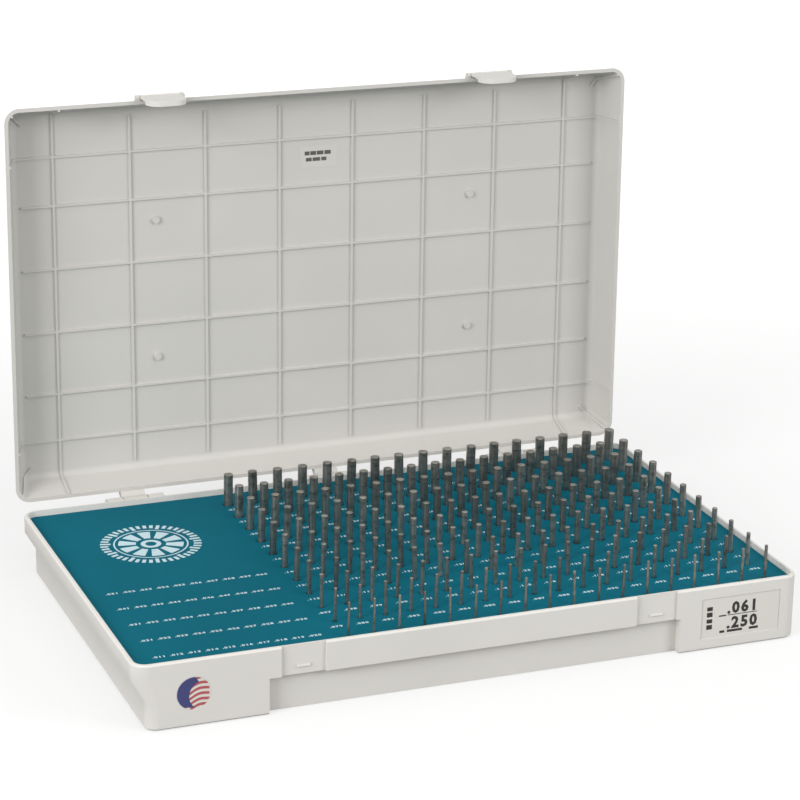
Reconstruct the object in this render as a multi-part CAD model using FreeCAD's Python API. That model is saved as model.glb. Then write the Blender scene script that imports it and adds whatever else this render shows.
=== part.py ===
import FreeCAD, Part
import math
import os

# Cased set of steel pin gauges: a moulded tray with a printed panel, eleven rows of gauges, a hinged lid
# and two latches. Millimetres, +Z up, X along the hinge side, origin at the centre of the underside.

V = FreeCAD.Vector

# case
caseWidth = 423.0
caseDepth = 258.6
trayHeight = 41.0
wall = 2.5
planCorner = 9.5
bandBottom = 30.0          # the left side of the tray is straight down to here
taperBottom = 17.0         # and from here down it stands further in, as a finger grip
gripInset = 7.5
gripCorner = 7.0
edgeBevel = 1.0

# finger recess, latch seats and label frame on the front of the tray
recessFromEnd = 80.5       # distances "from end" are from the nearer end of the case
recessTop = 22.4
recessDeep = 5.5
latchFromLeft = 101.5
latchFromRight = 96.5
seatWidth = 27.3
seatDeep = 1.6
ridgeTall = 1.4
ridgeOut = 0.8
labelFromRight = 13.1
labelWide = 53.4
labelLow = 7.0
labelTall = 26.4
labelDeep = 0.5
stickerFromLeft = 35.3
stickerRise = 20.2
stickerRadius = 10.4
stickerDeep = 0.3

# panel, support board and gauges
panelDrop = 3.5            # panel face below the rim
panelThick = 2.0
panelGap = 0.4             # panel to wall, all round
ledgeWide = 3.0
ledgeTall = 2.0
boardThick = 3.0
boardTop = 8.0             # the gauges stand on this level
boardFromLeft = 119.5
boardFromRight = 12.5
boardGap = 1.0
boardRibs = 5
boardRibWide = 2.0
boardRibInset = 10.0
gaugeLength = 50.8
inch = 25.4
firstSize = 61             # thousandths of an inch
rowCounts = [18, 18, 18, 17, 17, 17, 17, 17, 17, 17, 17]
gaugeFromLeft = 132.1      # first gauge of a row
gaugeFromRight = 18.9      # last gauge of a row
rowFromFront = 10.8
rowFromBack = 22.0
holePlay = 0.35            # radial play of a gauge in its hole
gaugeSides = 6
holeSides = 6
leanMost = 1.1             # degrees

# hinges
hingeFromEnd = 77.5        # outer hinges
hingeOut = 6.5             # axis behind the back wall
hingeDrop = 5.5            # axis below the rim
barrelRadius = 4.5
hingePinRadius = 1.5
runningPlay = 0.05
lidBarrelHalf = 8.0
barrelGap = 0.6
hingeHalf = 19.0
hingePinHalf = 18.5
stopGap = 0.3
armRoot = 8.0              # length of lid wall that an arm grows from
armRise = 1.0
embed = 0.8                # how far a piece added to a wall starts inside it

# lid
lidGap = 0.3               # lid rim above tray rim when shut
lidDepth = 21.0            # inside
lidDraft = 7.0             # every side leans in by this over the whole height
cornerDraft = 2.0
lidOuterRound = 7.0
lidInnerRound = 5.0
lidOpen = 90.5             # degrees
ribWide = 1.4
ribTall = 1.2
finDeep = 1.1
gussetHalf = 8.5           # corner gussets
gussetIn = 9.5
ribFromEnd = 35.0          # outermost ribs, from every side
ribColumns = 8
ribCentreY = 2.0
ribRows = [-1.0, -0.663, -0.223, 0.223, 0.663, 1.0]    # shares of the outermost rib's distance
bossFromEnd = 102.2
bossFromSide = 83.3
bossRadius = 2.4
bossTall = 1.6

# latches
latchWidth = 26.4
latchReach = 21.5          # pivot to tip
latchCorner = 9.0
latchOut = 2.0             # outer face in front of the tray
latchThick = 1.6
flangeThick = 1.8          # edge turned in round the free end
flangeGap = 0.3            # to the seat, and to the catch ridge
latchBarrel = 1.9
latchPivotOut = 0.5        # pivot outside the rim
latchPivotUp = 5.0         # pivot above the lid rim
trunnionRadius = 0.9
latchEar = 2.4
earGap = 0.3
earRadius = 1.9
pocketShallow = 0.6        # pocket in the lid wall behind the plate
pocketDeep = 1.8           # and behind the barrel
pocketStep = 3.0
pocketTall = 7.3

# worked out from the above
backY = caseDepth / 2
frontY = -backY
panelTop = trayHeight - panelDrop
panelBottom = panelTop - panelThick
boardFront = frontY + recessDeep + wall + boardGap
boardBack = backY - wall - boardGap
rightX = caseWidth / 2
recessHalf = rightX - recessFromEnd
latchX = [latchFromLeft - rightX, rightX - latchFromRight]
hingeX = [hingeFromEnd - rightX, 0.0, rightX - hingeFromEnd]
boardLeft = boardFromLeft - rightX
boardRight = rightX - boardFromRight
gaugeLeft = gaugeFromLeft - rightX
gaugeSpan = caseWidth - gaugeFromLeft - gaugeFromRight
frontRowY = frontY + rowFromFront
rowPitch = (caseDepth - rowFromFront - rowFromBack) / (len(rowCounts) - 1)
hingeY = backY + hingeOut
hingeZ = trayHeight - hingeDrop
lidRim = trayHeight + lidGap
lidTop = lidRim + lidDepth + wall
latchPivotY = frontY - latchPivotOut
latchPivotZ = lidRim + latchPivotUp
latchTip = latchPivotZ - latchReach
ridgeWidth = latchWidth - 2 * latchCorner


def box(x0, x1, y0, y1, z0, z1):
    return Part.makeBox(x1 - x0, y1 - y0, z1 - z0, V(x0, y0, z0))


def roundedLoop(x0, x1, y0, y1, leftR, rightR, z):
    """closed loop of four sides and four arcs, level at z"""
    p = leftR
    q = rightR
    lines = [
        (V(x0 + p, y0, z), V(x1 - q, y0, z)),
        (V(x1, y0 + q, z), V(x1, y1 - q, z)),
        (V(x1 - q, y1, z), V(x0 + p, y1, z)),
        (V(x0, y1 - p, z), V(x0, y0 + p, z)),
    ]
    bow = 1 - math.sqrt(0.5)
    middles = [
        V(x1 - q * bow, y0 + q * bow, z),
        V(x1 - q * bow, y1 - q * bow, z),
        V(x0 + p * bow, y1 - p * bow, z),
        V(x0 + p * bow, y0 + p * bow, z),
    ]
    edges = []
    for i, (start, end) in enumerate(lines):
        edges.append(Part.LineSegment(start, end).toShape())
        edges.append(Part.Arc(end, middles[i], lines[(i + 1) % 4][0]).toShape())
    return edges


def insetLoop(inset, r, z):
    """outline of the case at level z, drawn in all round"""
    x = caseWidth / 2 - inset
    y = caseDepth / 2 - inset
    return roundedLoop(-x, x, -y, y, r, r, z)


def gripLoop(inset, z):
    """the same with the left side drawn in for the grip"""
    x = caseWidth / 2 - inset
    y = caseDepth / 2 - inset
    return roundedLoop(gripInset - x, x, -y, y, gripCorner - inset, planCorner - inset, z)


def flatFace(points):
    return Part.Face(Part.makePolygon(points + points[:1]))


def blockBetween(low, high):
    """solid between two loops, with flat sides and ruled corners"""
    faces = [Part.Face(Part.Wire(low)), Part.Face(Part.Wire(high))]
    for i in range(0, len(low), 2):
        a, b = [v.Point for v in low[i].Vertexes]
        c, d = [v.Point for v in high[i].Vertexes]
        faces.append(flatFace([a, b, d, c]))
        faces.append(Part.makeRuledSurface(low[i + 1], high[i + 1]))
    shell = Part.makeShell(faces)
    shell.sewShape()
    return Part.makeSolid(shell).removeSplitter()


def prismX(points, x0, x1):
    """polygon of (y, z) points stretched from x0 to x1"""
    corners = [V(x0, y, z) for y, z in points]
    return flatFace(corners).extrude(V(x1 - x0, 0, 0))


def rodX(radius, x0, x1, y, z):
    return Part.makeCylinder(radius, x1 - x0, V(x0, y, z), V(1, 0, 0))


def levelEdges(shape, z):
    return [e for e in shape.Edges if abs(e.BoundBox.ZMin - z) < 0.01 and abs(e.BoundBox.ZMax - z) < 0.01]


def trayShell(inset, floor, top):
    """solid of the tray's outline, drawn in all round"""
    band = planCorner - inset
    lower = blockBetween(gripLoop(inset, floor), gripLoop(inset, taperBottom))
    taper = blockBetween(gripLoop(inset, taperBottom), insetLoop(inset, band, bandBottom))
    upper = blockBetween(insetLoop(inset, band, bandBottom), insetLoop(inset, band, top))
    return lower.fuse([taper, upper]).removeSplitter()


def makeTray():
    body = trayShell(0, 0, trayHeight)
    body = body.makeChamfer(edgeBevel, levelEdges(body, 0) + levelEdges(body, trayHeight))
    cavity = trayShell(wall, wall, trayHeight + 1)
    recess = box(-recessHalf, recessHalf, frontY - 1, frontY + recessDeep, -1, recessTop)
    behind = box(-recessHalf - wall, recessHalf + wall, frontY, frontY + recessDeep + wall, 0, recessTop + wall)
    tray = body.cut(cavity.cut(behind)).cut(recess)

    # ledge that the panel lies on
    outside = wall - embed
    inside = wall + ledgeWide
    outer = Part.Wire(insetLoop(outside, planCorner - outside, panelBottom - ledgeTall))
    inner = Part.Wire(insetLoop(inside, planCorner - inside, panelBottom - ledgeTall))
    ledge = Part.Face([outer, inner]).extrude(V(0, 0, ledgeTall))
    tray = tray.fuse(ledge)

    # ribs under the support board
    for i in range(boardRibs):
        x = boardLeft + boardRibInset + i * (boardRight - boardLeft - 2 * boardRibInset) / (boardRibs - 1)
        half = boardRibWide / 2
        tray = tray.fuse(box(x - half, x + half, boardFront, boardBack, wall - embed, boardTop - boardThick))

    # latch seats with their catch ridges, and shallow places for the label and the sticker
    ridgeLow = latchTip + flangeThick + flangeGap
    for x in latchX:
        seat = box(x - seatWidth / 2, x + seatWidth / 2, frontY - 1, frontY + seatDeep, recessTop - 1, trayHeight + 1)
        floor = frontY + seatDeep
        crest = floor - ridgeOut
        profile = [
            (floor + embed / 2, ridgeLow),
            (crest, ridgeLow),
            (crest, ridgeLow + ridgeTall / 2),
            (floor + embed / 2, ridgeLow + 2 * ridgeTall),
        ]
        ridge = prismX(profile, x - ridgeWidth / 2, x + ridgeWidth / 2)
        tray = tray.cut(seat).fuse(ridge)
    right = rightX - labelFromRight
    tray = tray.cut(box(right - labelWide, right, frontY - 1, frontY + labelDeep, labelLow, labelLow + labelTall))
    middle = V(stickerFromLeft - rightX, frontY + stickerDeep, stickerRise)
    tray = tray.cut(Part.makeCylinder(stickerRadius, wall, middle, V(0, -1, 0)))

    # hinge knuckles
    for x in hingeX:
        for x0, x1 in ((x - hingeHalf, x - lidBarrelHalf - barrelGap), (x + lidBarrelHalf + barrelGap, x + hingeHalf)):
            web = prismX(
                [
                    (backY - embed, hingeZ - 2 * barrelRadius),
                    (hingeY, hingeZ - barrelRadius),
                    (hingeY, hingeZ + barrelRadius),
                    (backY - embed, hingeZ + barrelRadius),
                ],
                x0,
                x1,
            )
            tray = tray.fuse(web).fuse(rodX(barrelRadius, x0, x1, hingeY, hingeZ))
            tray = tray.cut(rodX(hingePinRadius + runningPlay, x0 - 1, x1 + 1, hingeY, hingeZ))
    return tray.removeSplitter()


def gauges():
    """row, column, radius and hole centre of every gauge, from the front left"""
    size = firstSize
    for row, count in enumerate(rowCounts):
        for column in range(count):
            x = gaugeLeft + column * gaugeSpan / (count - 1)
            y = frontRowY + row * rowPitch
            yield row, column, size, x, y
            size += 1


def polygonFace(sides, radius, x, y, z):
    corners = []
    for i in range(sides + 1):
        angle = 2 * math.pi * (i + 0.5) / sides
        corners.append(V(x + radius * math.cos(angle), y + radius * math.sin(angle), z))
    return Part.makePolygon(corners)


def gaugeRadius(size):
    return size / 1000 * inch / 2


def makePanel():
    r = planCorner - wall - panelGap
    outline = Part.Wire(insetLoop(wall + panelGap, r, panelBottom))
    holes = []
    for row, column, size, x, y in gauges():
        radius = (gaugeRadius(size) + holePlay) / math.cos(math.pi / holeSides)
        holes.append(polygonFace(holeSides, radius, x, y, panelBottom))
    return Part.makeFace([outline] + holes, "Part::FaceMakerBullseye").extrude(V(0, 0, panelThick))


def makeBoard():
    return box(boardLeft, boardRight, boardFront, boardBack, boardTop - boardThick, boardTop)


def makeGauge(size, x, y):
    """one gauge standing on the board, leaning a little in its hole"""
    prism = Part.Face(polygonFace(gaugeSides, gaugeRadius(size), x, y, boardTop)).extrude(V(0, 0, gaugeLength))
    middle = V(x, y, panelTop - panelThick / 2)
    leanX = leanMost * math.sin(size * 2.399)
    leanY = leanMost * math.sin(size * 1.137 + 0.8)
    prism.rotate(middle, V(1, 0, 0), leanX)
    prism.rotate(middle, V(0, 1, 0), leanY)
    prism.translate(V(0, 0, boardTop - prism.BoundBox.ZMin))
    return prism


def rowNames():
    names = []
    size = firstSize
    for count in rowCounts:
        names.append("pins_%03d_%03d" % (size, size + count - 1))
        size += count
    return names


def leanIn(rise):
    """how far in the lid wall stands at a height above its rim"""
    return lidDraft * rise / (lidDepth + wall)


def lidLoop(inset, rise):
    """outline inside or outside the lid wall at a height above its rim"""
    corner = planCorner - inset - cornerDraft * rise / (lidDepth + wall)
    return insetLoop(inset + leanIn(rise), corner, lidRim + rise)


def lidBlock(inset, depth, rounding, below=0.0):
    body = blockBetween(lidLoop(inset, 0), lidLoop(inset, depth))
    body = body.makeFillet(rounding, levelEdges(body, lidRim + depth))
    if below:
        body = body.fuse(blockBetween(insetLoop(inset, planCorner - inset, lidRim - below), lidLoop(inset, 0)))
    return body


def makeRibs(cavity):
    """grid on the plate; the outer ribs and the corners run up the walls as fins"""
    core = lidBlock(wall + finDeep, lidDepth - ribTall, lidInnerRound - finDeep, 1.0)
    edge = wall + leanIn(lidDepth) + lidInnerRound
    halfX = caseWidth / 2 - edge
    halfY = caseDepth / 2 - edge
    plain = box(-halfX, halfX, -halfY, halfY, lidRim, lidTop)
    layer = cavity.cut(core)
    half = ribWide / 2
    low = lidRim
    ribs = []
    for i in range(ribColumns):
        x = (2 * i / (ribColumns - 1) - 1) * (rightX - ribFromEnd)
        slab = box(x - half, x + half, -caseDepth, caseDepth, low, lidTop)
        ribs.append(slab if i in (0, ribColumns - 1) else slab.common(plain))
    for share in ribRows:
        at = ribCentreY + share * (backY - ribFromEnd)
        slab = box(-caseWidth, caseWidth, at - half, at + half, low, lidTop)
        ribs.append(slab if abs(share) == 1 else slab.common(plain))
    for sx in (-1, 1):
        for sy in (-1, 1):
            slab = box(-gussetHalf, gussetHalf, -half, half, low, lidTop)
            slab.rotate(V(0, 0, 0), V(0, 0, 1), 45 * sx * sy)
            slab.translate(V(sx * (caseWidth / 2 - gussetIn), sy * (caseDepth / 2 - gussetIn), 0))
            ribs.append(slab)
    return ribs[0].fuse(ribs[1:]).common(layer)


def makeArm(x0, x1):
    """hinge arm from the back wall of the shut lid down to its barrel"""
    low = lidRim + armRise
    high = low + armRoot
    tangent = barrelRadius * math.sqrt(0.5)
    profile = [
        (backY - leanIn(armRise) - embed, low),
        (backY - leanIn(armRise + armRoot) - embed, high),
        (hingeY + tangent, hingeZ + tangent),
        (hingeY, hingeZ),
        (hingeY - tangent, hingeZ + tangent),
    ]
    return prismX(profile, x0, x1).fuse(rodX(barrelRadius, x0, x1, hingeY, hingeZ))


def makePocket(x):
    """room for a latch in the front wall of the shut lid"""
    half = latchWidth / 2 + earGap
    outside = frontY - wall
    profile = [
        (outside, lidRim - 1),
        (frontY + pocketShallow, lidRim - 1),
        (frontY + pocketShallow, lidRim + pocketStep),
        (frontY + pocketDeep, lidRim + pocketStep),
        (frontY + pocketDeep, lidRim + pocketTall),
        (outside, lidRim + pocketTall),
    ]
    return prismX(profile, x - half, x + half)


def makeEar(x0, x1):
    """ear that holds one end of a latch's pivot"""
    low = latchPivotUp - earRadius
    high = latchPivotUp + 2 * earRadius
    profile = [
        (frontY + leanIn(low) + embed, lidRim + low),
        (frontY + leanIn(high) + embed, lidRim + high),
        (latchPivotY, latchPivotZ + earRadius),
        (latchPivotY, latchPivotZ - earRadius),
    ]
    return prismX(profile, x0, x1).fuse(rodX(earRadius, x0, x1, latchPivotY, latchPivotZ))


def makeLid():
    """drawn shut, then turned open about the hinge axis"""
    outer = lidBlock(0, lidDepth + wall, lidOuterRound)
    cavity = lidBlock(wall, lidDepth, lidInnerRound, 1.0)
    lid = outer.cut(cavity).fuse(makeRibs(cavity))
    for x in (bossFromEnd - rightX, rightX - bossFromEnd):
        for y in (bossFromSide - backY, backY - bossFromSide):
            boss = Part.makeCylinder(bossRadius, bossTall + embed, V(x, y, lidRim + lidDepth - bossTall))
            lid = lid.fuse(boss)
    for x in hingeX:
        lid = lid.fuse(makeArm(x - lidBarrelHalf, x + lidBarrelHalf))
    for x in latchX:
        lid = lid.cut(makePocket(x))
        reach = latchWidth / 2 + earGap
        for x0 in (x - reach - latchEar, x + reach):
            lid = lid.fuse(makeEar(x0, x0 + latchEar))
        hole = rodX(trunnionRadius + runningPlay, x - latchWidth, x + latchWidth, latchPivotY, latchPivotZ)
        lid = lid.cut(hole)
    opened(lid)
    for x in hingeX:
        heel = box(x - lidBarrelHalf, x + lidBarrelHalf, backY + stopGap, hingeY, hingeZ - barrelRadius, hingeZ)
        lid = lid.fuse(heel)
        hole = rodX(hingePinRadius + runningPlay, x - hingeHalf, x + hingeHalf, hingeY, hingeZ)
        lid = lid.cut(hole)
    return lid.removeSplitter()


def opened(shape):
    """turn a piece drawn in the shut lid to where it is with the lid open"""
    shape.rotate(V(0, hingeY, hingeZ), V(1, 0, 0), -lidOpen)
    return shape


def latchOutline(x, y, inset):
    """plan of a latch, pivot line at the top, with its free end drawn in"""
    half = latchWidth / 2 - inset
    tip = latchTip + inset
    r = latchCorner - inset
    bow = r * (1 - math.sqrt(0.5))
    corners = [
        V(x - half, y, latchPivotZ),
        V(x - half, y, tip + r),
        V(x - half + r, y, tip),
        V(x + half - r, y, tip),
        V(x + half, y, tip + r),
        V(x + half, y, latchPivotZ),
    ]
    return Part.Face(Part.Wire([
        Part.LineSegment(corners[0], corners[1]).toShape(),
        Part.Arc(corners[1], V(x - half + bow, y, tip + bow), corners[2]).toShape(),
        Part.LineSegment(corners[2], corners[3]).toShape(),
        Part.Arc(corners[3], V(x + half - bow, y, tip + bow), corners[4]).toShape(),
        Part.LineSegment(corners[4], corners[5]).toShape(),
        Part.LineSegment(corners[5], corners[0]).toShape(),
    ]))


def makeLatch(x):
    """half-moon plate with its free edge turned in, and a pivot barrel with trunnions"""
    outside = frontY - latchOut
    flangeIn = frontY + seatDeep - flangeGap
    plate = latchOutline(x, outside, 0).extrude(V(0, latchThick, 0))
    flange = latchOutline(x, outside, 0).cut(latchOutline(x, outside, flangeThick))
    flange = flange.extrude(V(0, flangeIn - outside, 0))
    level = latchTip + latchCorner
    flange = flange.common(box(x - latchWidth, x + latchWidth, frontY - wall, frontY + wall, 0, level))
    barrel = rodX(latchBarrel, x - latchWidth / 2, x + latchWidth / 2, latchPivotY, latchPivotZ)
    reach = latchWidth / 2 + earGap + latchEar
    trunnions = rodX(trunnionRadius, x - reach, x + reach, latchPivotY, latchPivotZ)
    latch = plate.fuse([flange, barrel, trunnions]).removeSplitter()
    return opened(latch)


def makeHingePin(x):
    return rodX(hingePinRadius, x - hingePinHalf, x + hingePinHalf, hingeY, hingeZ)


def save(name, shape):
    shape.exportStep("parts/%s.step" % name)
    solids = len(shape.Solids)
    print(name, "solids", solids, "valid", shape.isValid(), "volume", round(shape.Volume / 1000, 2))


os.makedirs("parts", exist_ok=True)
save("base_tray", makeTray())
save("gauge_panel", makePanel())
save("support_board", makeBoard())
rows = [[] for count in rowCounts]
for row, column, size, x, y in gauges():
    rows[row].append(makeGauge(size, x, y))
for name, pins in zip(rowNames(), rows):
    save(name, Part.makeCompound(pins))
save("lid", makeLid())
for name, x in zip(("latch_left", "latch_right"), latchX):
    save(name, makeLatch(x))
for name, x in zip(("hinge_pin_left", "hinge_pin_middle", "hinge_pin_right"), hingeX):
    save(name, makeHingePin(x))
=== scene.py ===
import bpy
import bmesh
import math
from mathutils import Matrix, Vector


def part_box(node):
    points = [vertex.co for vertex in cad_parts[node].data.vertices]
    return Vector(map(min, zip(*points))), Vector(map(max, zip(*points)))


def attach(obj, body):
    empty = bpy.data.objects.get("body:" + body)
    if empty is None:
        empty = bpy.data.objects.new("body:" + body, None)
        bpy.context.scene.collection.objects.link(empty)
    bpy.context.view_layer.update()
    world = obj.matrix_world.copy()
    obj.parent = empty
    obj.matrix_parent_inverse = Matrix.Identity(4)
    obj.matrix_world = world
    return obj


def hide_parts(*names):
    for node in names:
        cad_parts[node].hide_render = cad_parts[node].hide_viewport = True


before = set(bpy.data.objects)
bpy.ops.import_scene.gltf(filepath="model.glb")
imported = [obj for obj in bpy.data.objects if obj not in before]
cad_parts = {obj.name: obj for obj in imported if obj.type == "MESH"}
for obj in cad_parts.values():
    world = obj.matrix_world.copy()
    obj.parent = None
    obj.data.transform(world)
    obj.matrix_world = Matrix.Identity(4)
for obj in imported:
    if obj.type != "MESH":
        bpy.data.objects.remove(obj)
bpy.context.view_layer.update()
print("frame loaded")

ops = bpy.ops
right = Vector((1, 0, 0))
away = Vector((0, 1, 0))
up = Vector((0, 0, 1))


def pick(piece):
    ops.object.select_all(action="DESELECT")
    piece.select_set(True)
    bpy.context.view_layer.objects.active = piece


def settle(piece):  # puts a piece's place into its mesh
    pick(piece)
    ops.object.transform_apply(location=True, rotation=True, scale=True)


def joinAll(pieces, name):
    ops.object.select_all(action="DESELECT")
    for piece in pieces:
        piece.select_set(True)
    bpy.context.view_layer.objects.active = pieces[0]
    ops.object.join()
    pieces[0].name = name
    return pieces[0]


def give(piece, material):
    piece.data.materials.clear()
    piece.data.materials.append(material)


def newPiece(name, mesh):
    piece = bpy.data.objects.new(name, mesh)
    bpy.context.scene.collection.objects.link(piece)
    return piece


def startGroup(name, inputs, outputs):
    group = bpy.data.node_groups.new(name, "ShaderNodeTree")
    for label, kind, value in inputs:
        socket = group.interface.new_socket(name=label, in_out="INPUT", socket_type=kind)
        socket.default_value = value
    for label, kind in outputs:
        group.interface.new_socket(name=label, in_out="OUTPUT", socket_type=kind)
    return group, group.nodes.new("NodeGroupInput"), group.nodes.new("NodeGroupOutput")


def addNode(tree, kind, links=None, **values):
    node = tree.nodes.new(kind)
    for key, value in values.items():
        if key in node.inputs:
            node.inputs[key].default_value = value
        else:
            setattr(node, key, value)
    for key, source in (links or {}).items():
        tree.links.new(source, node.inputs[key])
    return node


def addMath(tree, operation, *terms):  # a term is a socket or a number
    node = addNode(tree, "ShaderNodeMath", operation=operation)
    for index, term in enumerate(terms):
        if isinstance(term, bpy.types.NodeSocket):
            tree.links.new(term, node.inputs[index])
        else:
            node.inputs[index].default_value = term
    return node.outputs[0]


def addNoise(tree, vector, scale, detail, roughness=0.5):
    links = {"Vector": vector}
    node = addNode(tree, "ShaderNodeTexNoise", links, Scale=scale, Detail=detail, Roughness=roughness)
    return node.outputs["Fac"]


def addMapping(tree, vector, scale, turn=(0, 0, 0)):
    node = addNode(tree, "ShaderNodeMapping", {"Vector": vector}, Scale=scale, Rotation=turn)
    return node.outputs["Vector"]


def addRange(tree, value, low, high, toLow, toHigh):
    node = addNode(tree, "ShaderNodeMapRange", {"Value": value})
    for key, number in (("From Min", low), ("From Max", high), ("To Min", toLow), ("To Max", toHigh)):
        node.inputs[key].default_value = number
    return node.outputs["Result"]


def addMix(tree, factor, first, second):
    node = tree.nodes.new("ShaderNodeMix")
    node.data_type = "RGBA"
    for index, source in ((0, factor), (6, first), (7, second)):  # 6 and 7 are the two colours
        tree.links.new(source, node.inputs[index])
    return node.outputs[2]


def scaleColour(tree, colour, factor):
    node = addNode(tree, "ShaderNodeVectorMath", {0: colour}, operation="SCALE")
    tree.links.new(factor, node.inputs["Scale"])
    return node.outputs["Vector"]


surfaceOutputs = [
    ("Colour", "NodeSocketColor"),
    ("Roughness", "NodeSocketFloat"),
    ("Height", "NodeSocketFloat"),
]


def makeGrainGroup():  # fine grain, a soft cloud of tone, and a few rougher scuffs
    inputs = [
        ("Colour", "NodeSocketColor", (0.6, 0.6, 0.6, 1)),
        ("Scuff Colour", "NodeSocketColor", (0.5, 0.5, 0.5, 1)),
        ("Grain Scale", "NodeSocketFloat", 1500.0),
        ("Cloud", "NodeSocketFloat", 0.06),
        ("Scuff Roughness", "NodeSocketFloat", 0.5),
        ("Scuffs", "NodeSocketFloat", 0.3),
    ]
    plainRoughness = 0.5
    group, start, end = startGroup("surfaceGrain", inputs, surfaceOutputs)
    given = start.outputs
    place = group.nodes.new("ShaderNodeTexCoord").outputs["Object"]
    fineLinks = {"Vector": place, "Scale": given["Grain Scale"]}
    fine = addNode(group, "ShaderNodeTexNoise", fineLinks, Detail=3.0)
    cloud = addNoise(group, place, 9.0, 4.0)
    scuffPlace = addMapping(group, place, (1.0, 5.0, 2.5), (0.3, 0.2, 0.5))
    scuff = addNoise(group, scuffPlace, 55.0, 6.0, 0.65)
    scuffMask = addMath(group, "MULTIPLY", addRange(group, scuff, 0.62, 0.78, 0.0, 1.0), given["Scuffs"])
    shade = addMath(group, "MULTIPLY", addRange(group, cloud, 0.3, 0.7, -1.0, 1.0), given["Cloud"])
    toned = scaleColour(group, given["Colour"], addMath(group, "ADD", shade, 1.0))
    colour = addMix(group, scuffMask, toned, given["Scuff Colour"])
    rougher = addMath(group, "ADD", addRange(group, cloud, 0.3, 0.7, -0.05, 0.05), given["Scuff Roughness"])
    roughness = addMath(group, "MULTIPLY_ADD", rougher, scuffMask, plainRoughness)
    group.links.new(colour, end.inputs["Colour"])
    group.links.new(roughness, end.inputs["Roughness"])
    group.links.new(fine.outputs["Fac"], end.inputs["Height"])
    return group


def makeSteelGroup():  # streaks round each gauge, stains of oil, and a tone for each gauge
    inputs = [
        ("Colour", "NodeSocketColor", (0.3, 0.3, 0.3, 1)),
        ("Stain Colour", "NodeSocketColor", (0.1, 0.1, 0.1, 1)),
        ("Streak Scale", "NodeSocketFloat", 900.0),
        ("Roughness", "NodeSocketFloat", 0.35),
    ]
    group, start, end = startGroup("groundSteel", inputs, surfaceOutputs)
    given = start.outputs
    place = group.nodes.new("ShaderNodeTexCoord").outputs["Object"]
    streakLinks = {"Vector": addMapping(group, place, (0.06, 0.06, 1.0)), "Scale": given["Streak Scale"]}
    streak = addNode(group, "ShaderNodeTexNoise", streakLinks, Detail=4.0).outputs["Fac"]
    each = addNoise(group, addMapping(group, place, (1.0, 1.0, 0.12)), 70.0, 1.0)
    stain = addNoise(group, place, 260.0, 4.0)
    toned = scaleColour(group, given["Colour"], addRange(group, each, 0.3, 0.7, 0.72, 1.28))
    stainMask = addRange(group, stain, 0.48, 0.72, 0.0, 0.75)
    colour = addMix(group, stainMask, toned, given["Stain Colour"])
    roughness = addMath(group, "ADD", addRange(group, streak, 0.3, 0.7, -0.08, 0.1), given["Roughness"])
    group.links.new(colour, end.inputs["Colour"])
    group.links.new(roughness, end.inputs["Roughness"])
    group.links.new(streak, end.inputs["Height"])
    return group


grainGroup = makeGrainGroup()
steelGroup = makeSteelGroup()


def finishMaterial(name, group, values, fixed, bump):  # places a shared effect in one material
    material = bpy.data.materials.new(name)
    material.use_nodes = True
    tree = material.node_tree
    shader = tree.nodes["Principled BSDF"]
    effect = tree.nodes.new("ShaderNodeGroup")
    effect.node_tree = group
    for key, value in values.items():
        effect.inputs[key].default_value = value
    for key, value in fixed.items():
        shader.inputs[key].default_value = value
    height = {"Height": effect.outputs["Height"]}
    relief = addNode(tree, "ShaderNodeBump", height, Strength=1.0, Distance=bump)
    tree.links.new(effect.outputs["Colour"], shader.inputs["Base Color"])
    tree.links.new(effect.outputs["Roughness"], shader.inputs["Roughness"])
    tree.links.new(relief.outputs["Normal"], shader.inputs["Normal"])
    return material


def grainMaterial(name, colour, scuffColour, grain, cloud, scuffRoughness, scuffs, specular, bump):
    values = {
        "Colour": (*colour, 1),
        "Scuff Colour": (*scuffColour, 1),
        "Grain Scale": grain,
        "Cloud": cloud,
        "Scuff Roughness": scuffRoughness,
        "Scuffs": scuffs,
    }
    return finishMaterial(name, grainGroup, values, {"Specular IOR Level": specular}, bump)


def mouldedPlastic(name, colour):  # the scuffs are a little darker than the colour
    worn = [0.84 * value for value in colour]
    return grainMaterial(
        name, colour, worn, grain=1700, cloud=0.025, scuffRoughness=0.62, scuffs=0.10,
        specular=0.25, bump=0.00003,
    )


def printedInk(name, colour, scuffColour, cloud, scuffs, scuffRoughness=0.55):
    return grainMaterial(
        name, colour, scuffColour, grain=2600, cloud=cloud, scuffRoughness=scuffRoughness, scuffs=scuffs,
        specular=0.3, bump=0.00001,
    )


def labelStock(name, colour, scuffColour):
    return grainMaterial(
        name, colour, scuffColour, grain=1200, cloud=0.03, scuffRoughness=0.6, scuffs=0.2,
        specular=0.3, bump=0.00002,
    )


def stickerInk(name, colour, scuffColour, cloud, scuffs):
    return grainMaterial(
        name, colour, scuffColour, grain=1800, cloud=cloud, scuffRoughness=0.35, scuffs=scuffs,
        specular=0.5, bump=0.00001,
    )


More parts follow.
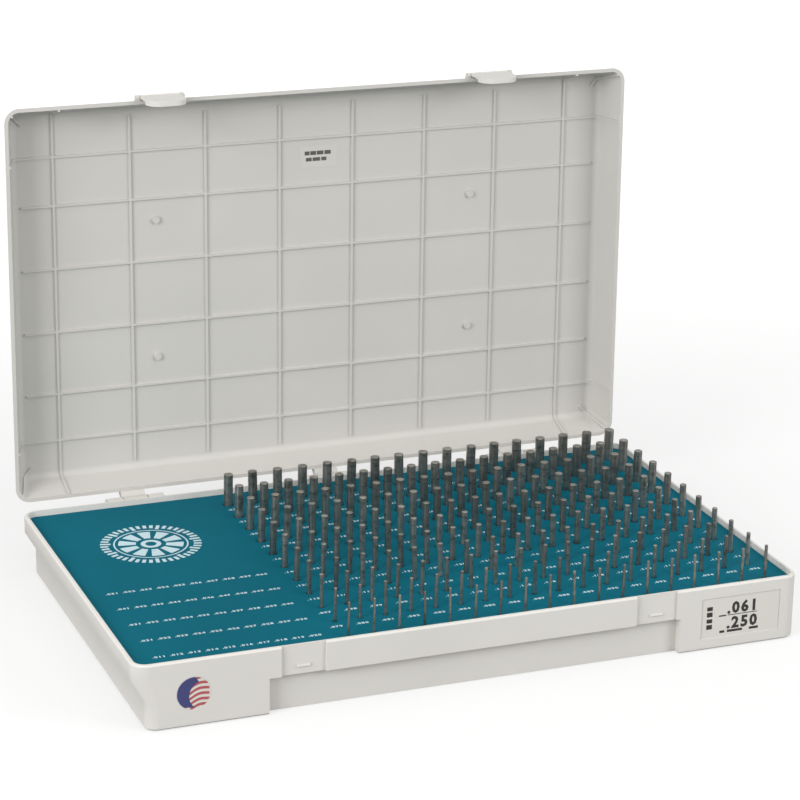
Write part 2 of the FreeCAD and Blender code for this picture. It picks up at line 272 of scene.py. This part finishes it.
trayPlastic = mouldedPlastic("trayPlastic", (0.632, 0.617, 0.584))
# the lid uses a darker copy of the tray's plastic: painted shade for the inside of the lid
lidPlastic = mouldedPlastic("lidPlastic", (0.540, 0.527, 0.496))
panelPrint = grainMaterial(
    "panelPrint", (0.003, 0.112, 0.160), (0.006, 0.160, 0.205), grain=2600, cloud=0.10,
    scuffRoughness=0.7, scuffs=0.25, specular=0.02, bump=0.00001,
)
boardPlastic = grainMaterial(
    "boardPlastic", (0.45, 0.43, 0.39), (0.3, 0.29, 0.26), grain=700, cloud=0.08,
    scuffRoughness=0.6, scuffs=0.4, specular=0.3, bump=0.00005,
)
whitePrint = printedInk("whitePrint", (0.48, 0.62, 0.67), (0.10, 0.30, 0.36), 0.08, 0.5, 0.5)
blackPrint = printedInk("blackPrint", (0.035, 0.033, 0.030), (0.20, 0.19, 0.18), 0.15, 0.4)
fadedPrint = printedInk("fadedPrint", (0.11, 0.105, 0.095), (0.34, 0.33, 0.30), 0.35, 0.7)
labelPaper = labelStock("labelPaper", (0.62, 0.605, 0.565), (0.55, 0.53, 0.49))
# the lid label's paper is a darker copy of the label paper: painted shade for the inside of the lid
lidPaper = labelStock("lidPaper", (0.560, 0.547, 0.512), (0.50, 0.485, 0.45))
stickerBlue = stickerInk("stickerBlue", (0.045, 0.052, 0.165), (0.20, 0.21, 0.36), 0.15, 0.5)
stickerRed = stickerInk("stickerRed", (0.42, 0.085, 0.095), (0.55, 0.28, 0.28), 0.12, 0.4)
gaugeSteel = finishMaterial(
    "gaugeSteel",
    steelGroup,
    {
        "Colour": (0.34, 0.325, 0.295, 1),
        "Stain Colour": (0.13, 0.125, 0.11, 1),
        "Streak Scale": 900.0,
        "Roughness": 0.34,
    },
    {"Metallic": 0.92, "Specular IOR Level": 0.5},
    bump=0.000002,
)
hingeSteel = finishMaterial(
    "hingeSteel",
    steelGroup,
    {
        "Colour": (0.42, 0.41, 0.40, 1),
        "Stain Colour": (0.25, 0.24, 0.23, 1),
        "Streak Scale": 600.0,
        "Roughness": 0.35,
    },
    {"Metallic": 1.0},
    bump=0.000006,
)
print("materials made")

# each moulded node is copied, its facets are merged and its edges softened; angles in degrees
caseEdges = {"merge": 0.00001, "flat": 0.6, "soft": 0.00028, "steps": 2, "angle": 32.0, "smooth": 34.0}


def softCopy(node, name, body, material):
    piece = newPiece(name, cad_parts[node].data.copy())
    pick(piece)
    ops.object.mode_set(mode="EDIT")
    ops.mesh.select_all(action="SELECT")
    ops.mesh.customdata_custom_splitnormals_clear()
    ops.mesh.remove_doubles(threshold=caseEdges["merge"])
    ops.mesh.dissolve_limited(angle_limit=math.radians(caseEdges["flat"]))
    ops.object.mode_set(mode="OBJECT")
    soft = piece.modifiers.new("softEdges", "BEVEL")
    soft.width = caseEdges["soft"]
    soft.segments = caseEdges["steps"]
    soft.limit_method = "ANGLE"
    soft.angle_limit = math.radians(caseEdges["angle"])
    soft.use_clamp_overlap = True
    ops.object.modifier_apply(modifier=soft.name)
    ops.object.shade_smooth_by_angle(angle=math.radians(caseEdges["smooth"]))
    level = piece.modifiers.new("levelFaces", "WEIGHTED_NORMAL")
    level.keep_sharp = True
    ops.object.modifier_apply(modifier=level.name)
    give(piece, material)
    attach(piece, body)
    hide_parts(node)


softCopy("base_tray", "traySoft", "base", trayPlastic)
softCopy("lid", "lidSoft", "lid", lidPlastic)
softCopy("latch_left", "latchLeftSoft", "latch_left", trayPlastic)
softCopy("latch_right", "latchRightSoft", "latch_right", trayPlastic)
give(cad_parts["gauge_panel"], panelPrint)
give(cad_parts["support_board"], boardPlastic)
for node in ("hinge_pin_left", "hinge_pin_middle", "hinge_pin_right"):
    give(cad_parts[node], hingeSteel)
print("case made")

# one round gauge with chamfered ends, copied to every place in the frame
gaugeShape = {"sides": 16, "radius": 0.002, "chamfer": 0.00022, "smooth": 30.0, "merge": 0.000001}


def readGauges(node):  # low end, high end and radius of each gauge in a row
    work = bmesh.new()
    work.from_mesh(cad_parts[node].data)
    bmesh.ops.remove_doubles(work, verts=work.verts, dist=gaugeShape["merge"])
    left = set(work.verts)
    found = []
    while left:
        group = [left.pop()]
        for vert in group:
            for edge in vert.link_edges:
                other = edge.other_vert(vert)
                if other in left:
                    left.remove(other)
                    group.append(other)
        group.sort(key=lambda vert: vert.co.z)
        half = len(group) // 2
        low = sum((vert.co for vert in group[:half]), Vector()) / half
        high = sum((vert.co for vert in group[half:]), Vector()) / half
        found.append((low, high, (group[0].co - low).length))
    work.free()
    return sorted(found, key=lambda item: item[0].x)


def modelGauge(length):
    ops.object.select_all(action="DESELECT")
    ops.mesh.primitive_cylinder_add(
        vertices=gaugeShape["sides"], radius=gaugeShape["radius"], depth=length, location=(0, 0, length / 2)
    )
    piece = bpy.context.object
    settle(piece)
    ops.object.mode_set(mode="EDIT")
    ops.mesh.select_mode(type="EDGE")
    ops.mesh.select_all(action="DESELECT")
    work = bmesh.from_edit_mesh(piece.data)
    for edge in work.edges:
        first, second = edge.verts
        edge.select = abs(first.co.z - second.co.z) < length / 2  # the two end rims
    bmesh.update_edit_mesh(piece.data)
    ops.mesh.bevel(offset=gaugeShape["chamfer"], segments=1, affect="EDGES")
    ops.object.mode_set(mode="OBJECT")
    return piece


def copyGauge(master, low, high, radius):  # grown to its radius with its chamfer kept, then set on its axis
    turn = up.rotation_difference(high - low).to_matrix().to_4x4()
    piece = newPiece("gauge", master.data.copy())
    grow = radius - gaugeShape["radius"]
    for vert in piece.data.vertices:
        out = Vector((vert.co.x, vert.co.y, 0))
        if out.length > 0:
            vert.co = vert.co + out.normalized() * grow
    piece.data.transform(Matrix.Translation(low) @ turn)
    return piece


gaugeRows = [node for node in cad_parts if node.startswith("pins_")]
gaugePlaces = {node: readGauges(node) for node in gaugeRows}
firstLow, firstHigh, firstRadius = gaugePlaces[gaugeRows[0]][0]
master = modelGauge((firstHigh - firstLow).length)
for node in gaugeRows:
    copies = [copyGauge(master, *place) for place in gaugePlaces[node]]
    row = joinAll(copies, node.replace("pins", "gauges"))
    pick(row)
    ops.object.shade_smooth_by_angle(angle=math.radians(gaugeShape["smooth"]))
    give(row, gaugeSteel)
    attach(row, "base")
    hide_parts(node)
bpy.data.objects.remove(master)
print("gauges made")

# numerals are modelled once each and copied into words; the gap is a share of the type size
printShape = {
    "resolution": 2,
    "bold": 0.045,
    "gap": 0.09,
    "panelLift": 0.00004,
    "paperLift": 0.00008,
    "inkLift": 0.00006,
}


def modelGlyph(letter):
    ops.object.select_all(action="DESELECT")
    ops.object.text_add(location=(0, 0, 0))
    text = bpy.context.object
    text.data.body = letter
    text.data.resolution_u = printShape["resolution"]
    text.data.offset = printShape["bold"]
    ops.object.convert(target="MESH")
    text = bpy.context.object
    verts = [(vert.co.x, vert.co.y) for vert in text.data.vertices]
    faces = [tuple(face.vertices) for face in text.data.polygons]
    bpy.data.objects.remove(text)
    left = min(x for x, y in verts)
    wide = max(x for x, y in verts) - left
    return {"verts": verts, "faces": faces, "left": left, "wide": wide}


glyphs = {letter: modelGlyph(letter) for letter in "0123456789."}
capHeight = max(y for x, y in glyphs["0"]["verts"])


def glyphRoom(letter):  # every digit takes the room of a nought
    return glyphs["." if letter == "." else "0"]["wide"]


def addWord(store, word, centre, across, along, height):  # centred, reading across and rising along
    verts, faces = store
    size = height / capHeight
    gap = printShape["gap"]
    pen = -(sum(glyphRoom(letter) + gap for letter in word) - gap) / 2
    for letter in word:
        glyph = glyphs[letter]
        shift = pen - glyph["left"] + (glyphRoom(letter) - glyph["wide"]) / 2
        first = len(verts)
        for x, y in glyph["verts"]:
            verts.append(centre + across * ((x + shift) * size) + along * ((y - capHeight / 2) * size))
        faces.extend(tuple(first + index for index in face) for face in glyph["faces"])
        pen += glyphRoom(letter) + gap


def addBar(store, centre, across, along, wide, tall):
    verts, faces = store
    first = len(verts)
    for a, b in ((-1, -1), (1, -1), (1, 1), (-1, 1)):
        verts.append(centre + across * (a * wide / 2) + along * (b * tall / 2))
    faces.append((first, first + 1, first + 2, first + 3))


def addDisc(store, centre, across, along, radius, steps, inner=0.0):  # with an inner radius it is a ring
    verts, faces = store
    first = len(verts)
    for step in range(steps):
        angle = 2 * math.pi * step / steps
        out = across * math.cos(angle) + along * math.sin(angle)
        verts.append(centre + out * radius)
        if inner:
            verts.append(centre + out * inner)
    if not inner:
        faces.append(tuple(range(first, first + steps)))
        return
    for step in range(steps):
        here = first + 2 * step
        there = first + 2 * ((step + 1) % steps)
        faces.append((here, there, there + 1, here + 1))


def storePiece(store, name, material, body):
    mesh = bpy.data.meshes.new(name)
    mesh.from_pydata([tuple(vert) for vert in store[0]], [], store[1])
    piece = newPiece(name, mesh)
    give(piece, material)
    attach(piece, body)


trayLow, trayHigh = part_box("base_tray")
panelLow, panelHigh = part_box("gauge_panel")
panelTop = panelHigh.z + printShape["panelLift"]

# a size in front of each gauge, and a block of smaller sizes at the left; sizes in thousandths
sizeLabels = {
    "firstSize": 61,
    "height": 0.0024,
    "widen": 1.2,
    "inFront": 0.0075,  # from the gauge to its size in the first two rows
    "deeper": 0.0008,  # added by each row behind them
    "deepest": 0.0092,
    "spread": 0.0104,
    "drift": 0.0007,
    "driftMost": 0.0024,
    "driftStart": 0.001,
    "edgeRoom": 0.0002,
    "smallFirst": 11,
    "smallColumns": 10,
    "smallLeft": 0.0172,
    "smallPitch": 0.01045,
    "smallRows": [-0.1114, -0.0866, -0.0620, -0.0374, -0.0130],
}


def addSize(store, size, x, y):
    centre = Vector((x, y, panelTop))
    addWord(store, ".%03d" % size, centre, right * sizeLabels["widen"], away, sizeLabels["height"])


def makeSizePrint():
    spec = sizeLabels
    store = ([], [])
    size = spec["firstSize"]
    for rowNumber, node in enumerate(gaugeRows):
        rowsBehind = max(rowNumber - 1, 0)
        drift = min(rowsBehind * spec["drift"], spec["driftMost"]) - spec["driftStart"]
        inFront = min(spec["inFront"] + rowsBehind * spec["deeper"], spec["deepest"])
        for low, high, radius in gaugePlaces[node]:
            hole = low + (high - low) * ((panelHigh.z - low.z) / (high.z - low.z))
            y = hole.y - inFront
            if y - spec["height"] / 2 > panelLow.y + spec["edgeRoom"]:
                addSize(store, size, hole.x * (1 + spec["spread"]) + drift, y)
            size += 1
    size = spec["smallFirst"]
    for y in spec["smallRows"]:
        for column in range(spec["smallColumns"]):
            addSize(store, size, panelLow.x + spec["smallLeft"] + column * spec["smallPitch"], y)
            size += 1
    storePiece(store, "sizePrint", whitePrint, "base")


makeSizePrint()
print("size print made")

# round dial print: a ring of ticks round a crossed target
dial = {
    "x": -0.1463,
    "y": 0.0575,
    "outer": 0.0318,
    "ticks": 44,
    "longEvery": 4,
    "longTick": 0.0066,
    "shortTick": 0.0050,
    "tickWide": 0.0023,
    "ring": 0.0236,
    "ringWide": 0.0010,
    "ringSteps": 48,
    "wedges": 10,
    "wedgeOut": 0.0205,
    "wedgeIn": 0.0095,
    "wedgeStart": 0.1,  # shares of one wedge's pitch
    "wedgeSweep": 24.0,
    "wedgeSteps": 6,
    "core": 0.0065,
    "coreWide": 0.0030,
    "coreSteps": 32,
}


def addWedge(store, centre, start):
    verts, faces = store
    first = len(verts)
    steps = dial["wedgeSteps"]
    for step in range(steps + 1):
        angle = start + math.radians(dial["wedgeSweep"]) * step / steps
        out = right * math.cos(angle) + away * math.sin(angle)
        verts.append(centre + out * dial["wedgeOut"])
        verts.append(centre + out * dial["wedgeIn"])
    for step in range(steps):
        here = first + 2 * step
        faces.append((here, here + 2, here + 3, here + 1))


def makeDialPrint():
    store = ([], [])
    centre = Vector((dial["x"], dial["y"], panelTop))
    for tick in range(dial["ticks"]):
        angle = 2 * math.pi * tick / dial["ticks"]
        out = right * math.cos(angle) + away * math.sin(angle)
        side = away * math.cos(angle) - right * math.sin(angle)
        length = dial["longTick"] if tick % dial["longEvery"] == 0 else dial["shortTick"]
        addBar(store, centre + out * (dial["outer"] - length / 2), out, side, length, dial["tickWide"])
    ring, core = dial["ring"], dial["core"]
    addDisc(store, centre, right, away, ring, dial["ringSteps"], ring - dial["ringWide"])
    addDisc(store, centre, right, away, core, dial["coreSteps"], core - dial["coreWide"])
    for wedge in range(dial["wedges"]):
        addWedge(store, centre, 2 * math.pi * (wedge + dial["wedgeStart"]) / dial["wedges"])
    storePiece(store, "dialPrint", whitePrint, "base")


makeDialPrint()

# front label: two size numbers, a dash, and plain bars
frontLabel = {
    "left": 0.1450,
    "right": 0.1984,
    "low": 0.0070,
    "high": 0.0334,
    "sink": 0.0005,
    "margin": 0.0012,
    "numberHeight": 0.0074,
    "numbers": [(".061", 0.1730, 0.0258), (".250", 0.1730, 0.0160)],  # word, x, z
    "bars": [  # x, z, wide, tall
        (0.1596, 0.0209, 0.0050, 0.0009),
        (0.1730, 0.0209, 0.0200, 0.0005),
        (0.1596, 0.0104, 0.0034, 0.0016),
        (0.1682, 0.0104, 0.0104, 0.0016),
        (0.1812, 0.0104, 0.0062, 0.0016),
        (0.1507, 0.0264, 0.0038, 0.0026),
        (0.1507, 0.0226, 0.0038, 0.0030),
        (0.1507, 0.0184, 0.0038, 0.0026),
        (0.1507, 0.0145, 0.0038, 0.0030),
    ],
}


def makeFrontLabel():
    spec = frontLabel
    face = trayLow.y + spec["sink"] - printShape["paperLift"]
    middle = Vector(((spec["left"] + spec["right"]) / 2, face, (spec["low"] + spec["high"]) / 2))
    wide = spec["right"] - spec["left"] - spec["margin"]
    tall = spec["high"] - spec["low"] - spec["margin"]
    paper = ([], [])
    addBar(paper, middle, right, up, wide, tall)
    storePiece(paper, "frontLabelPaper", labelPaper, "base")
    ink = ([], [])
    face -= printShape["inkLift"]
    for word, x, z in spec["numbers"]:
        addWord(ink, word, Vector((x, face, z)), right, up, spec["numberHeight"])
    for x, z, wide, tall in spec["bars"]:
        addBar(ink, Vector((x, face, z)), right, up, wide, tall)
    storePiece(ink, "frontLabelPrint", blackPrint, "base")


makeFrontLabel()

# round sticker: plain waves of red on white beside a blue field
sticker = {
    "fromLeft": 0.0353,
    "rise": 0.0202,
    "radius": 0.0103,
    "discSteps": 40,
    "sink": 0.0003,
    "margin": 0.0003,
    "layer": 0.00005,
    "stripes": 6,
    "steps": 24,
    "waveRise": 0.0011,
    "waveTurn": 3.4,
    "waveStart": 0.6,
    "waveLean": 0.25,
    "fieldArc": (84, 150, 16),  # first angle, sweep, steps
    "bay": {"x": 0.0062, "z": -0.0018, "radius": 0.0091, "arc": (232, -122, 10)},
}


def addStripe(store, centre, radius, low, pitch):  # one waving stripe, cut off at the sticker's edge
    verts, faces = store
    previous = None
    for step in range(sticker["steps"] + 1):
        x = -radius + 2 * radius * step / sticker["steps"]
        reach = math.sqrt(max(radius * radius - x * x, 0))
        turn = x / radius * sticker["waveTurn"] + sticker["waveStart"]
        wave = sticker["waveRise"] * math.sin(turn) + sticker["waveLean"] * x
        bottom = max(low + wave, -reach)
        top = min(low + wave + pitch / 2, reach)
        if top <= bottom:
            previous = None
            continue
        first = len(verts)
        verts.append(centre + right * x + up * bottom)
        verts.append(centre + right * x + up * top)
        if previous is not None:
            faces.append((previous, first, first + 1, previous + 1))
        previous = first


def arcPoints(x, z, radius, arc):
    start, sweep, steps = arc
    angles = [math.radians(start + sweep * step / steps) for step in range(steps + 1)]
    return [(x + radius * math.cos(angle), z + radius * math.sin(angle)) for angle in angles]


def makeSticker():
    spec = sticker
    face = trayLow.y + spec["sink"] - printShape["paperLift"]
    centre = Vector((trayLow.x + spec["fromLeft"], face, spec["rise"]))
    disc = ([], [])
    addDisc(disc, centre, right, up, spec["radius"], spec["discSteps"])
    storePiece(disc, "stickerPaper", labelPaper, "base")
    radius = spec["radius"] - spec["margin"]
    pitch = 2 * radius / spec["stripes"]
    centre = centre - away * spec["layer"]
    red = ([], [])
    for stripe in range(spec["stripes"]):
        addStripe(red, centre, radius, -radius + stripe * pitch, pitch)
    storePiece(red, "stickerWaves", stickerRed, "base")
    centre = centre - away * spec["layer"]
    bay = spec["bay"]
    outline = arcPoints(0, 0, radius, spec["fieldArc"])
    outline += arcPoints(bay["x"], bay["z"], bay["radius"], bay["arc"])
    blue = ([centre + right * x + up * z for x, z in outline], [tuple(range(len(outline)))])
    storePiece(blue, "stickerField", stickerBlue, "base")


makeSticker()

# small label inside the lid, with bars for print
lidLabel = {
    "x": 0.0018,
    "z": 0.2508,
    "wide": 0.0250,
    "tall": 0.0140,
    "lean": 0.5,
    "plateY": 0.1628,  # the lid's inner face at the height of the hinge
    "hingeZ": 0.0355,
    "lift": 0.00025,
    "bars": [  # across, up, wide, tall
        (-0.0078, 0.0022, 0.0034, 0.0026),
        (-0.0036, 0.0022, 0.0040, 0.0026),
        (0.0012, 0.0022, 0.0046, 0.0026),
        (0.0064, 0.0022, 0.0044, 0.0026),
        (-0.0066, -0.0020, 0.0040, 0.0024),
        (-0.0014, -0.0020, 0.0052, 0.0024),
        (0.0038, -0.0020, 0.0036, 0.0024),
    ],
}


def makeLidLabel():
    spec = lidLabel
    lean = math.radians(spec["lean"])
    rise = Vector((0, math.sin(lean), math.cos(lean)))
    face = spec["plateY"] + (spec["z"] - spec["hingeZ"]) * math.tan(lean) - spec["lift"]
    centre = Vector((spec["x"], face, spec["z"]))
    paper = ([], [])
    addBar(paper, centre, right, rise, spec["wide"], spec["tall"])
    storePiece(paper, "lidLabelPaper", lidPaper, "lid")
    ink = ([], [])
    centre = centre - away * printShape["inkLift"]
    for x, z, wide, tall in spec["bars"]:
        addBar(ink, centre + right * x + rise * z, right, rise, wide, tall)
    storePiece(ink, "lidLabelPrint", fadedPrint, "lid")


makeLidLabel()
print("labels made")

floorPaper = {
    "size": 40,
    "y": 8,
    "drop": 0.0004,
    "grey": 0.32,
    "roughness": 0.9,
    "specular": 0.1,
    "near": 0.35,  # the glow that the camera sees rises from near to far
    "far": 1.3,
    "nearGlow": 0.590,
    "farGlow": 0.83,
}


def makeFloor():
    spec = floorPaper
    ops.object.select_all(action="DESELECT")
    ops.mesh.primitive_plane_add(size=spec["size"], location=(0, spec["y"], -spec["drop"]))
    floor = bpy.context.object
    floor.name = "floor"
    settle(floor)
    material = bpy.data.materials.new("floorPaper")
    material.use_nodes = True
    tree = material.node_tree
    shader = tree.nodes["Principled BSDF"]
    shader.inputs["Base Color"].default_value = (spec["grey"], spec["grey"], spec["grey"], 1)
    shader.inputs["Roughness"].default_value = spec["roughness"]
    shader.inputs["Specular IOR Level"].default_value = spec["specular"]
    path = tree.nodes.new("ShaderNodeLightPath")
    place = tree.nodes.new("ShaderNodeTexCoord").outputs["Object"]
    reach = addNode(tree, "ShaderNodeVectorMath", {0: place}, operation="LENGTH").outputs["Value"]
    strength = addRange(tree, reach, spec["near"], spec["far"], spec["nearGlow"], spec["farGlow"])
    glow = addNode(tree, "ShaderNodeEmission", {"Strength": strength})
    none = addNode(tree, "ShaderNodeEmission", Strength=0.0)
    seen = {0: path.outputs["Is Camera Ray"], 1: none.outputs[0], 2: glow.outputs[0]}
    both = addNode(tree, "ShaderNodeMixShader", seen)
    total = addNode(tree, "ShaderNodeAddShader", {0: shader.outputs[0], 1: both.outputs[0]})
    tree.links.new(total.outputs[0], tree.nodes["Material Output"].inputs["Surface"])
    give(floor, material)


makeFloor()

studio = {
    "world": 0.68,
    "worldColour": (1.0, 0.995, 0.985, 1),
    "aim": (0, 0, 0.12),
    "keyLight": {"at": (-1.75, -0.85, 0.88), "size": 1.0, "power": 30.0},
    "fillLight": {"at": (1.35, -1.35, 0.88), "size": 1.0, "power": 17.5},
    "topLight": {"at": (0.4, -0.2, 2.6), "size": 2.0, "power": 12.0},
}


def addLight(name):
    spec = studio[name]
    ops.object.select_all(action="DESELECT")
    ops.object.light_add(type="AREA", location=spec["at"])
    light = bpy.context.object
    light.name = name
    light.data.size = spec["size"]
    light.data.energy = spec["power"]
    aim = Vector(studio["aim"]) - Vector(spec["at"])
    light.rotation_euler = aim.to_track_quat("-Z", "Y").to_euler()


for name in ("keyLight", "fillLight", "topLight"):
    addLight(name)
world = bpy.data.worlds.new("studioWorld")
bpy.context.scene.world = world
world.use_nodes = True
background = world.node_tree.nodes["Background"]
background.inputs["Color"].default_value = studio["worldColour"]
background.inputs["Strength"].default_value = studio["world"]

cameraSetup = {
    "turn": -21.46,
    "rise": 18.70,
    "roll": 0.91,
    "distance": 1.79176,
    "right": -0.00053,
    "up": 0.12811,
    "lens": 127.8,
    "clipEnd": 100,
}


def addCamera():
    turn = math.radians(cameraSetup["turn"])
    rise = math.radians(cameraSetup["rise"])
    roll = math.radians(cameraSetup["roll"])
    back = Vector((math.sin(turn) * math.cos(rise), -math.cos(turn) * math.cos(rise), math.sin(rise)))
    level = Vector((math.cos(turn), math.sin(turn), 0))
    over = back.cross(level)
    side = level * math.cos(roll) + over * math.sin(roll)
    top = over * math.cos(roll) - level * math.sin(roll)
    place = back * cameraSetup["distance"] + side * cameraSetup["right"] + top * cameraSetup["up"]
    data = bpy.data.cameras.new("viewCamera")
    data.lens = cameraSetup["lens"]
    data.clip_end = cameraSetup["clipEnd"]
    camera = newPiece("viewCamera", data)
    camera.matrix_world = Matrix.Translation(place) @ Matrix((side, top, back)).transposed().to_4x4()
    bpy.context.scene.camera = camera


addCamera()
bpy.context.scene.view_settings.view_transform = "Standard"
print("stage made")
